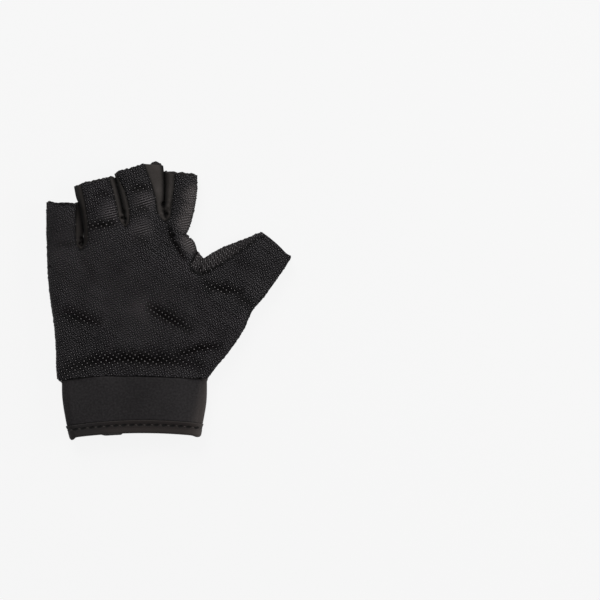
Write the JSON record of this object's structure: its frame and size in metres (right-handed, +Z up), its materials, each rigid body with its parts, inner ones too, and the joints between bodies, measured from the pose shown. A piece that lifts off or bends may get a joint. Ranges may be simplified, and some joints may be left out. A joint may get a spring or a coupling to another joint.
{
  "type": "fitness glove",
  "caption": "Fingerless training glove lying empty, palm up: dotted grip knit palm, stretch strips between the fingers, smooth wrist band and stitched hem",
  "frame": {"origin": "under the middle of the glove, on the surface that it lies on", "axes": "+X across the hand towards the thumb, +Y from the wrist to the fingertips, +Z up, out of the palm"},
  "size_m": [0.1589, 0.1798, 0.014],
  "materials": {
    "grip_knit": "dark knit with small raised grip dots",
    "back_knit": "plain smooth stretch knit",
    "stretch_strip": "thin smooth stretch cloth, brownish black",
    "cuff_cloth": "thick smooth cloth with a fine nap",
    "binding_tape": "folded stretch tape with slanted stitches"
  },
  "bodies": {
    "root": {"palm_panel": "grip_knit", "thumb_gusset": "grip_knit", "back_panel": "back_knit", "forchette_little_ring": "stretch_strip", "forchette_ring_middle": "stretch_strip", "forchette_middle_index": "stretch_strip", "cuff_band": "cuff_cloth", "cuff_binding": "binding_tape", "closure_tab": "cuff_cloth"}
  },
  "joints": []
}
